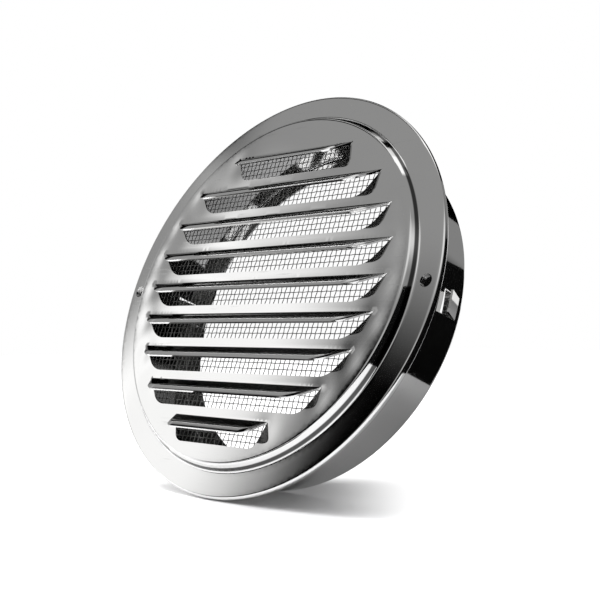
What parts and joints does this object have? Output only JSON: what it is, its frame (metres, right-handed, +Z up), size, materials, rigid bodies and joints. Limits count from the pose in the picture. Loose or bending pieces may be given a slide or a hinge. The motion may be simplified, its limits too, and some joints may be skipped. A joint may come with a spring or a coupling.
{
  "type": "ceiling air diffuser",
  "caption": "Round polished steel air diffuser with fixed outward louvres, woven insect screen and a duct collar with spring tongues.",
  "frame": {"origin": "on the duct's axis, in the plane where the rim meets the wall or ceiling", "axes": "+Y runs back into the duct along its axis, +X along the louvres, +Z up the face, so that the blades open downwards"},
  "size_m": [0.18, 0.0438, 0.18],
  "materials": {
    "polished_steel": "mirror polished",
    "plain_steel": "as rolled",
    "screen_wire": "drawn wire"
  },
  "bodies": {
    "root": {"face_plate": "polished_steel", "duct_collar": "polished_steel", "collar_flange": "plain_steel", "screen_edge_ring": "plain_steel", "screen_upright_wires": "screen_wire", "screen_cross_wires": "screen_wire"}
  },
  "joints": []
}
